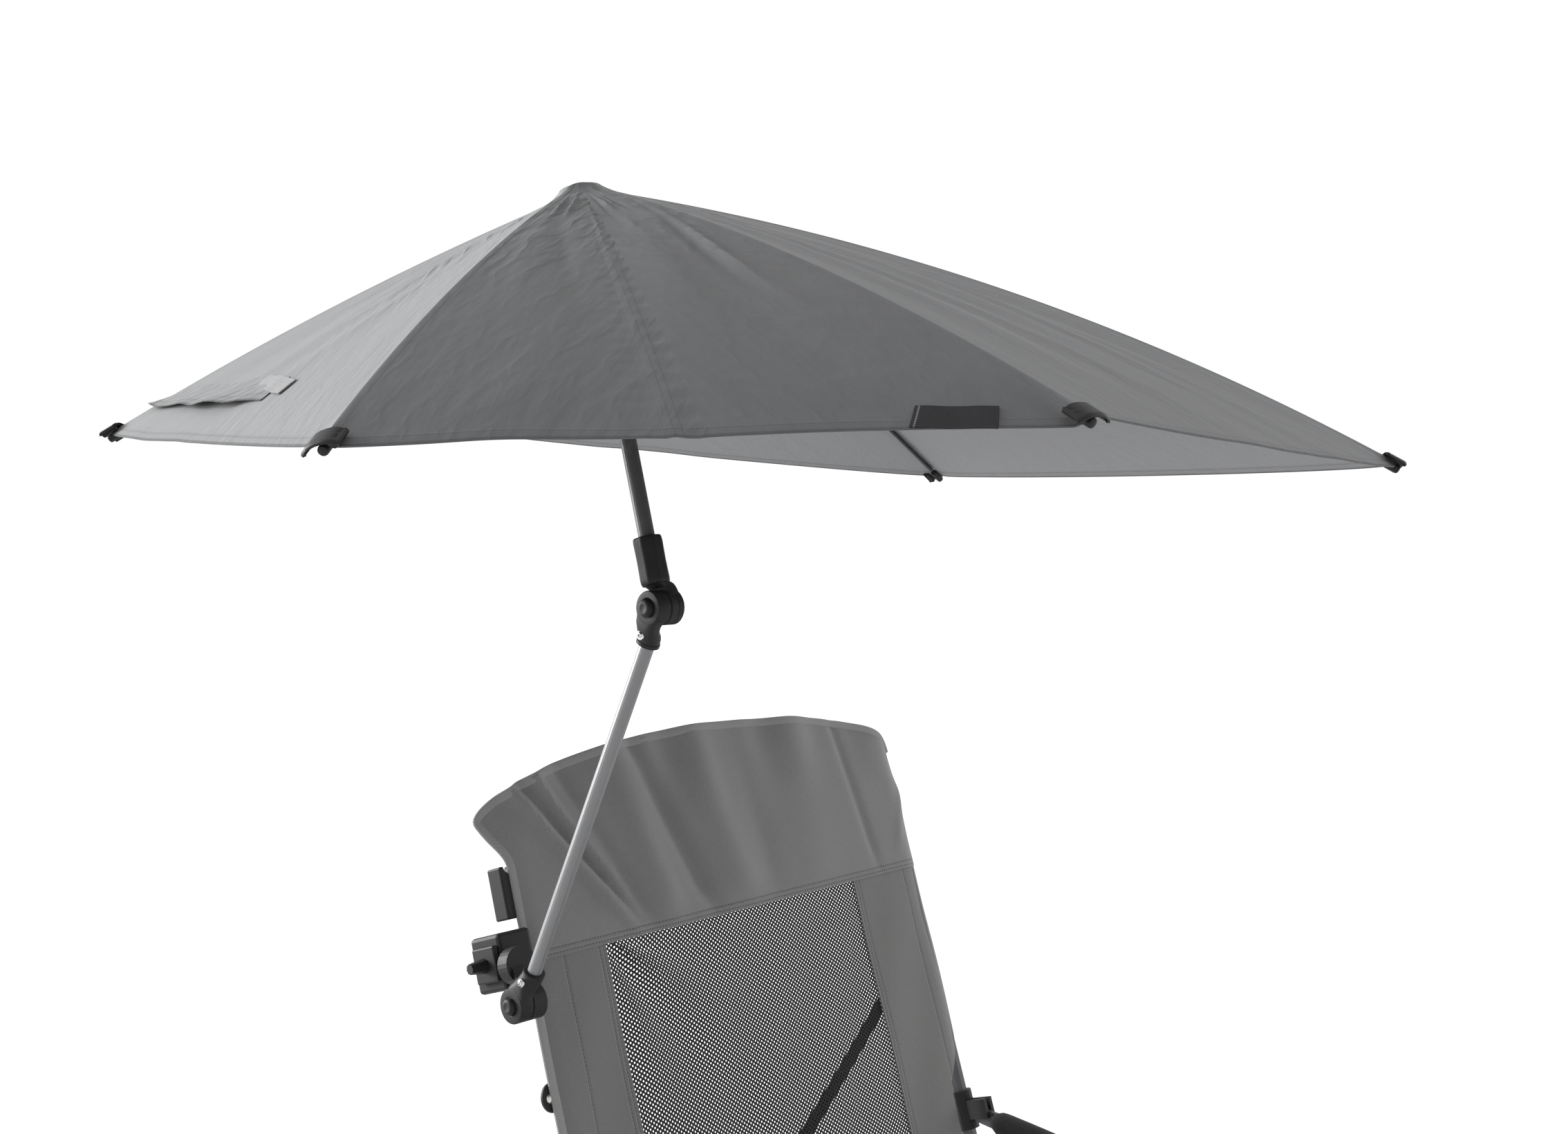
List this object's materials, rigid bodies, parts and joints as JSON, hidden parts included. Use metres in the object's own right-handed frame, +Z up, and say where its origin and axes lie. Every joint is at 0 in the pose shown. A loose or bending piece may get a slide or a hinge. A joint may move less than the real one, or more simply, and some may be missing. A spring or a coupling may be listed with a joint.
{
  "type": "umbrella chair",
  "caption": "Folding camp chair with a mesh back and foam armrests, and an off-centre umbrella on a jointed arm clamped to one back post",
  "frame": {"origin": "on the sole of the near skid, under the upright part of the rear post that carries the umbrella", "axes": "+X from the umbrella's side frame to the other one, +Y to the rear of the chair, +Z up"},
  "size_m": [0.8729, 0.8387, 1.4734],
  "materials": {
    "frame_paint": "satin dark grey paint",
    "black_plastic": "fine matt black moulding",
    "silver_paint": "silver grey satin paint",
    "grey_paint": "mid grey satin paint",
    "spring_steel": "dark coated steel",
    "zinc": "zinc plated",
    "foam": "matt black foam",
    "chair_cloth": "mid grey woven polyester",
    "net_cloth": "open black mesh",
    "strap_cloth": "black webbing",
    "canopy_cloth": "satin grey polyester"
  },
  "bodies": {
    "near_side": {"near_skid": "black_plastic", "near_rear_post": "frame_paint", "near_front_leg": "frame_paint", "near_arm_foam": "foam", "near_arm_bracket": "black_plastic", "back_panel": "chair_cloth", "back_mesh": "net_cloth", "carry_strap": "strap_cloth", "anchor_plate": "black_plastic", "clamp_body": "black_plastic", "clamp_plate": "black_plastic", "pole_holder": "black_plastic"},
    "outer_frame": {"outer_leg_frame": "frame_paint"},
    "inner_frame": {"inner_leg_frame": "frame_paint", "front_cross_spacer": "zinc", "rear_cross_spacer": "zinc"},
    "far_side": {"far_skid": "black_plastic", "far_rear_post": "frame_paint", "far_front_leg": "frame_paint", "far_arm_foam": "foam", "far_arm_bracket": "black_plastic"},
    "near_rail": {"near_front_glide": "black_plastic", "near_rear_glide": "black_plastic", "seat_sling": "chair_cloth"},
    "far_rail": {"far_front_glide": "black_plastic", "far_rear_glide": "black_plastic"},
    "clamp_screw": {"clamp_knob": "black_plastic"},
    "swivel": {"swivel": "black_plastic"},
    "arm": {"lower_socket": "black_plastic", "lower_screw": "zinc", "arm_tube": "silver_paint", "upper_socket": "black_plastic", "upper_screw": "zinc"},
    "lower_button": {"lower_button": "black_plastic"},
    "upper_button": {"upper_button": "black_plastic"},
    "head": {"pole_knuckle": "black_plastic", "sleeve_grip": "black_plastic", "pole": "grey_paint", "crown_cap": "black_plastic", "crown_ring": "black_plastic", "canopy": "canopy_cloth"},
    "runner": {"runner": "black_plastic"},
    "rib_a": {"rib_a": "spring_steel", "tip_cap_a": "black_plastic"},
    "stretcher_a": {"stretcher_a": "spring_steel"},
    "rib_b": {"rib_b": "spring_steel", "tip_cap_b": "black_plastic"},
    "stretcher_b": {"stretcher_b": "spring_steel"},
    "rib_c": {"rib_c": "spring_steel", "tip_cap_c": "black_plastic"},
    "stretcher_c": {"stretcher_c": "spring_steel"},
    "rib_d": {"rib_d": "spring_steel", "tip_cap_d": "black_plastic"},
    "stretcher_d": {"stretcher_d": "spring_steel"},
    "rib_e": {"rib_e": "spring_steel", "tip_cap_e": "black_plastic"},
    "stretcher_e": {"stretcher_e": "spring_steel"},
    "rib_f": {"rib_f": "spring_steel", "tip_cap_f": "black_plastic"},
    "stretcher_f": {"stretcher_f": "spring_steel"}
  },
  "joints": [
    {"name": "chair_fold", "type": "hinge", "parent": "near_side", "child": "outer_frame", "pos_m": [0.035, 0, 0.052], "axis": [0, -1, 0], "range_deg": [0, 36], "deforming": ["back_panel", "back_mesh", "carry_strap", "seat_sling"]},
    {"name": "cross_pivot", "type": "hinge", "parent": "outer_frame", "child": "inner_frame", "pos_m": [0.2325, 0, 0.226], "axis": [0, 1, 0], "range_deg": [0, 72.02]},
    {"name": "far_side_pivot", "type": "hinge", "parent": "inner_frame", "child": "far_side", "pos_m": [0.43, 0, 0.052], "axis": [0, -1, 0], "range_deg": [0, 36.02]},
    {"name": "near_rail_turn", "type": "hinge", "parent": "inner_frame", "child": "near_rail", "pos_m": [0.035, 0, 0.4], "axis": [0, -1, 0], "range_deg": [0, 36.02]},
    {"name": "far_rail_turn", "type": "hinge", "parent": "outer_frame", "child": "far_rail", "pos_m": [0.43, 0, 0.4], "axis": [0, 1, 0], "range_deg": [0, 36.02]},
    {"name": "clamp_screw_turn", "type": "hinge", "parent": "near_side", "child": "clamp_screw", "pos_m": [-0.0616, 0.08077, 0.87447], "axis": [1, 0, 0], "range_deg": [0, 360]},
    {"name": "clamp_swivel", "type": "hinge", "parent": "near_side", "child": "swivel", "pos_m": [-0.052, 0.05766, 0.87714], "axis": [0, 0.9511, -0.309], "range_deg": [-45, 45]},
    {"name": "lower_hinge", "type": "hinge", "parent": "swivel", "child": "arm", "pos_m": [-0.062, 0.0308, 0.856], "axis": [1, 0, 0], "range_deg": [-15, 60]},
    {"name": "lower_button_press", "type": "slide", "parent": "arm", "child": "lower_button", "axis": [1, 0, 0], "range_m": [0, 0.003], "stiffness_N_per_m": 300, "springref_m": -0.002},
    {"name": "upper_button_press", "type": "slide", "parent": "arm", "child": "upper_button", "axis": [1, 0, 0], "range_m": [0, 0.003], "stiffness_N_per_m": 300, "springref_m": -0.002},
    {"name": "upper_hinge", "type": "hinge", "parent": "arm", "child": "head", "pos_m": [-0.062, -0.12325, 1.16403], "axis": [1, 0, 0], "range_deg": [-30, 60]},
    {"name": "umbrella_close", "type": "hinge", "parent": "head", "child": "rib_d", "pos_m": [-0.05239, -0.04841, 1.46248], "axis": [0.749, 0.6366, -0.1837], "range_deg": [0, 45.76], "deforming": ["canopy"]},
    {"name": "runner_slide", "type": "slide", "parent": "head", "child": "runner", "axis": [0, -0.2773, -0.9608], "range_m": [0, 0.1532]},
    {"name": "rib_a_close", "type": "hinge", "parent": "head", "child": "rib_a", "pos_m": [-0.07023, -0.0265, 1.45616], "axis": [-0.8234, -0.5452, 0.1574], "range_deg": [0, 64.86]},
    {"name": "rib_b_close", "type": "hinge", "parent": "head", "child": "rib_b", "pos_m": [-0.0755, -0.04305, 1.46093], "axis": [0.3642, -0.8948, 0.2583], "range_deg": [0, 42.67]},
    {"name": "rib_c_close", "type": "hinge", "parent": "head", "child": "rib_c", "pos_m": [-0.06406, -0.05176, 1.46345], "axis": [0.9899, -0.1365, 0.0394], "range_deg": [0, 40.42]},
    {"name": "rib_e_close", "type": "hinge", "parent": "head", "child": "rib_e", "pos_m": [-0.04781, -0.03513, 1.45865], "axis": [-0.204, 0.9406, -0.2715], "range_deg": [0, 57.69]},
    {"name": "rib_f_close", "type": "hinge", "parent": "head", "child": "rib_f", "pos_m": [-0.0562, -0.02521, 1.45578], "axis": [-0.9165, 0.3844, -0.1109], "range_deg": [0, 70.33]},
    {"name": "stretcher_a_turn", "type": "hinge", "parent": "runner", "child": "stretcher_a", "pos_m": [-0.07023, -0.04092, 1.4062], "axis": [0.8234, 0.5452, -0.1574], "range_deg": [0, 62.58]},
    {"name": "stretcher_b_turn", "type": "hinge", "parent": "runner", "child": "stretcher_b", "pos_m": [-0.0755, -0.05747, 1.41097], "axis": [-0.3642, 0.8948, -0.2583], "range_deg": [0, 84.34]},
    {"name": "stretcher_c_turn", "type": "hinge", "parent": "runner", "child": "stretcher_c", "pos_m": [-0.06406, -0.06618, 1.41349], "axis": [-0.9899, 0.1365, -0.0394], "range_deg": [0, 86.81]},
    {"name": "stretcher_d_turn", "type": "hinge", "parent": "runner", "child": "stretcher_d", "pos_m": [-0.05239, -0.06283, 1.41252], "axis": [-0.749, -0.6366, 0.1837], "range_deg": [0, 81.01]},
    {"name": "stretcher_e_turn", "type": "hinge", "parent": "runner", "child": "stretcher_e", "pos_m": [-0.04781, -0.04955, 1.40869], "axis": [0.204, -0.9406, 0.2715], "range_deg": [0, 69.14]},
    {"name": "stretcher_f_turn", "type": "hinge", "parent": "runner", "child": "stretcher_f", "pos_m": [-0.0562, -0.03963, 1.40582], "axis": [0.9165, -0.3844, 0.1109], "range_deg": [0, 57.83]}
  ],
  "couplings": [
    {"joint": "cross_pivot", "follows": "chair_fold", "ratio": 2},
    {"joint": "far_side_pivot", "follows": "chair_fold", "ratio": 1},
    {"joint": "near_rail_turn", "follows": "chair_fold", "ratio": 1},
    {"joint": "far_rail_turn", "follows": "chair_fold", "ratio": 1},
    {"joint": "runner_slide", "follows": "umbrella_close", "m_per_rad": 0.19156},
    {"joint": "rib_a_close", "follows": "umbrella_close", "ratio": 1.4169},
    {"joint": "rib_b_close", "follows": "umbrella_close", "ratio": 0.93192},
    {"joint": "rib_c_close", "follows": "umbrella_close", "ratio": 0.88277},
    {"joint": "rib_e_close", "follows": "umbrella_close", "ratio": 1.2603},
    {"joint": "rib_f_close", "follows": "umbrella_close", "ratio": 1.5365},
    {"joint": "stretcher_a_turn", "follows": "umbrella_close", "ratio": 1.367},
    {"joint": "stretcher_b_turn", "follows": "umbrella_close", "ratio": 1.8426},
    {"joint": "stretcher_c_turn", "follows": "umbrella_close", "ratio": 1.8964},
    {"joint": "stretcher_d_turn", "follows": "umbrella_close", "ratio": 1.7699},
    {"joint": "stretcher_e_turn", "follows": "umbrella_close", "ratio": 1.5104},
    {"joint": "stretcher_f_turn", "follows": "umbrella_close", "ratio": 1.2632}
  ]
}
